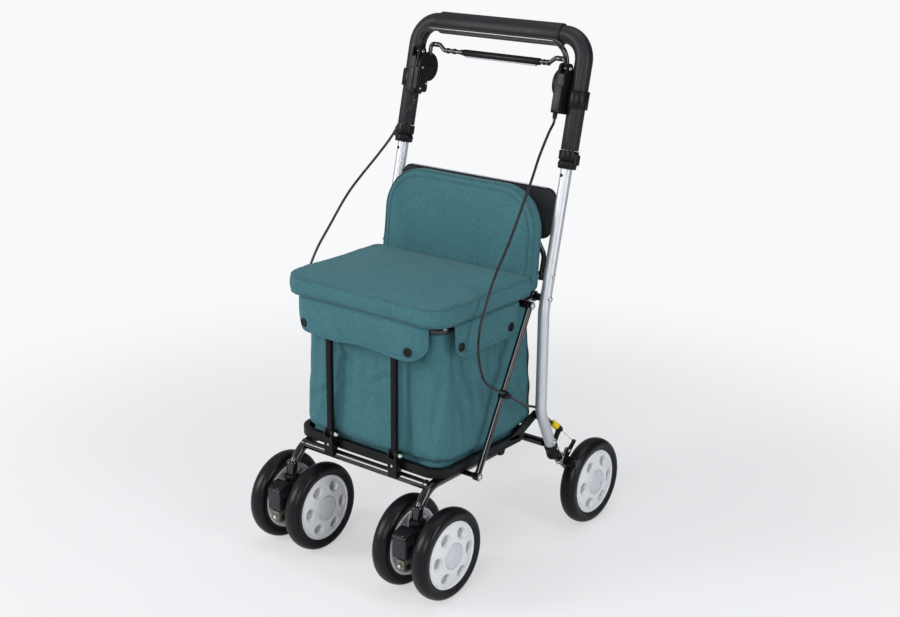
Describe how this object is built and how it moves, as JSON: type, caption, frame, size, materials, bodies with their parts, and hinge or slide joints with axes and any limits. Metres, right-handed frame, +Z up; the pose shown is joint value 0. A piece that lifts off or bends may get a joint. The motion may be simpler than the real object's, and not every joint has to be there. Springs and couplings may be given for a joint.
{
  "type": "shopping rollator",
  "caption": "Folding shopping rollator with a height-adjustable brake handle, padded seat and backrest, front shopping bag, twin-wheel casters and rear wheels.",
  "frame": {"origin": "on the floor, midway between the front and rear axles and between the two sides", "axes": "+X is the user's left, +Y is towards the user behind the handle, +Z is up; it rolls forward along -Y"},
  "size_m": [0.497, 0.6024, 0.9953],
  "materials": {
    "aluminium": "satin anodised",
    "bare": "bare metal",
    "cable": "black cable housing",
    "cloth": "teal woven cloth",
    "fabric": "teal woven cloth over foam",
    "foam": "matte closed-cell foam",
    "hub": "light grey moulded plastic",
    "panel": "black cloth over a stiff sheet",
    "plastic": "black moulded",
    "steel": "black enamel",
    "tyre": "glossy black rubber",
    "yellow": "yellow moulded",
    "zinc": "bright zinc"
  },
  "bodies": {
    "frame": {"upright_left": "aluminium", "upright_right": "aluminium", "rear_leg_left": "steel", "rear_leg_right": "steel", "rear_crossbar": "steel", "rear_axle_left": "zinc", "rear_axle_right": "zinc", "brake_bracket_left": "zinc", "brake_bracket_right": "zinc", "cable_adjuster_left": "yellow", "cable_adjuster_right": "yellow", "backrest_frame": "steel", "backrest_pad": "fabric", "rear_panel": "panel", "collar_left": "plastic", "collar_right": "plastic", "bag": "cloth", "brake_cable_left": "cable", "brake_cable_right": "cable"},
    "handle": {"handle_tube": "aluminium", "grip_leg_left": "foam", "grip_leg_right": "foam", "grip_centre": "foam", "brake_housing_left": "plastic", "brake_housing_right": "plastic"},
    "brake_bar": {"brake_bar": "steel"},
    "parking_bar": {"parking_bar": "plastic"},
    "brake_arm_left": {"brake_arm_left": "steel"},
    "brake_arm_right": {"brake_arm_right": "steel"},
    "rear_wheel_left": {"rear_tyre_left": "tyre", "rear_hub_left": "hub"},
    "rear_wheel_right": {"rear_tyre_right": "tyre", "rear_hub_right": "hub"},
    "tray": {"tray_rim": "plastic", "tray_floor": "plastic", "bar_bracket_left": "plastic", "bar_bracket_right": "plastic"},
    "seat": {"seat_frame": "steel"},
    "lid": {"seat_board": "plastic", "seat_cushion": "fabric"},
    "struts": {"side_strut_left": "steel", "side_strut_right": "steel", "cable_clip_left": "plastic", "cable_clip_right": "plastic"},
    "front_bars": {"front_bar_left": "steel", "front_bar_right": "steel"},
    "chassis": {"chassis_frame": "steel"},
    "caster_left": {"caster_fork_left": "plastic", "caster_carrier_left": "bare"},
    "front_wheel_left_outer": {"front_tyre_left_outer": "tyre", "front_hub_left_outer": "hub"},
    "front_wheel_left_inner": {"front_tyre_left_inner": "tyre", "front_hub_left_inner": "hub"},
    "caster_right": {"caster_fork_right": "plastic", "caster_carrier_right": "bare"},
    "front_wheel_right_outer": {"front_tyre_right_outer": "tyre", "front_hub_right_outer": "hub"},
    "front_wheel_right_inner": {"front_tyre_right_inner": "tyre", "front_hub_right_inner": "hub"}
  },
  "joints": [
    {"name": "handle_height", "type": "slide", "parent": "frame", "child": "handle", "axis": [0, 0.2358, 0.9718], "range_m": [0, 0.1], "deforming": ["brake_cable_left", "brake_cable_right"]},
    {"name": "brake_squeeze", "type": "hinge", "parent": "handle", "child": "brake_bar", "pos_m": [0, 0.16995, 0.91936], "axis": [-1, 0, 0], "range_deg": [0, 14], "stiffness_Nm_per_rad": 1.5, "springref_deg": -8.59},
    {"name": "parking_brake", "type": "hinge", "parent": "handle", "child": "parking_bar", "pos_m": [0, 0.17892, 0.88847], "axis": [1, 0, 0], "range_deg": [0, 40]},
    {"name": "fold", "type": "hinge", "parent": "frame", "child": "tray", "pos_m": [0, 0.08591, 0.2575], "axis": [-1, 0, 0], "range_deg": [0, 72], "deforming": ["brake_cable_left", "brake_cable_right", "bag", "backrest_pad", "seat_cushion"]},
    {"name": "seat_fold", "type": "hinge", "parent": "frame", "child": "seat", "pos_m": [0, 0.0883, 0.498], "axis": [-1, 0, 0], "range_deg": [0, 72]},
    {"name": "lid_open", "type": "hinge", "parent": "seat", "child": "lid", "pos_m": [0, 0.036, 0.498], "axis": [1, 0, 0], "range_deg": [-70, 0], "deforming": ["seat_cushion"]},
    {"name": "strut_swing", "type": "hinge", "parent": "seat", "child": "struts", "pos_m": [0, 0.038, 0.497], "axis": [-1, 0, 0], "range_deg": [-74, 0]},
    {"name": "front_bar_swing", "type": "hinge", "parent": "tray", "child": "front_bars", "pos_m": [0, -0.2125, 0.248], "axis": [-1, 0, 0], "range_deg": [-72, 0]},
    {"name": "chassis_swing", "type": "hinge", "parent": "tray", "child": "chassis", "pos_m": [0, -0.002, 0.207], "axis": [-1, 0, 0], "range_deg": [-111, 0]},
    {"name": "brake_arm_left_press", "type": "hinge", "parent": "frame", "child": "brake_arm_left", "pos_m": [0.2137, 0.16, 0.1655], "axis": [1, 0, 0], "range_deg": [0, 5]},
    {"name": "rear_wheel_left_spin", "type": "hinge", "parent": "frame", "child": "rear_wheel_left", "pos_m": [0.229, 0.215, 0.0875], "axis": [1, 0, 0], "continuous": true},
    {"name": "caster_left_swivel", "type": "hinge", "parent": "chassis", "child": "caster_left", "pos_m": [0.158, -0.2405, 0.135], "axis": [0, 0, 1], "continuous": true},
    {"name": "front_wheel_left_outer_spin", "type": "hinge", "parent": "caster_left", "child": "front_wheel_left_outer", "pos_m": [0.2046, -0.215, 0.0875], "axis": [1, 0, 0], "continuous": true},
    {"name": "front_wheel_left_inner_spin", "type": "hinge", "parent": "caster_left", "child": "front_wheel_left_inner", "pos_m": [0.1114, -0.215, 0.0875], "axis": [1, 0, 0], "continuous": true},
    {"name": "brake_arm_right_press", "type": "hinge", "parent": "frame", "child": "brake_arm_right", "pos_m": [-0.2137, 0.16, 0.1655], "axis": [1, 0, 0], "range_deg": [0, 5]},
    {"name": "rear_wheel_right_spin", "type": "hinge", "parent": "frame", "child": "rear_wheel_right", "pos_m": [-0.229, 0.215, 0.0875], "axis": [1, 0, 0], "continuous": true},
    {"name": "caster_right_swivel", "type": "hinge", "parent": "chassis", "child": "caster_right", "pos_m": [-0.158, -0.2405, 0.135], "axis": [0, 0, 1], "continuous": true},
    {"name": "front_wheel_right_outer_spin", "type": "hinge", "parent": "caster_right", "child": "front_wheel_right_outer", "pos_m": [-0.2046, -0.215, 0.0875], "axis": [1, 0, 0], "continuous": true},
    {"name": "front_wheel_right_inner_spin", "type": "hinge", "parent": "caster_right", "child": "front_wheel_right_inner", "pos_m": [-0.1114, -0.215, 0.0875], "axis": [1, 0, 0], "continuous": true}
  ],
  "couplings": [
    {"joint": "seat_fold", "follows": "fold", "ratio": 1},
    {"joint": "strut_swing", "follows": "fold", "ratio": -1.02},
    {"joint": "front_bar_swing", "follows": "fold", "ratio": -1},
    {"joint": "chassis_swing", "follows": "fold", "ratio": -1.54},
    {"joint": "brake_arm_left_press", "follows": "brake_squeeze", "ratio": 0.357},
    {"joint": "brake_arm_right_press", "follows": "brake_squeeze", "ratio": 0.357}
  ]
}
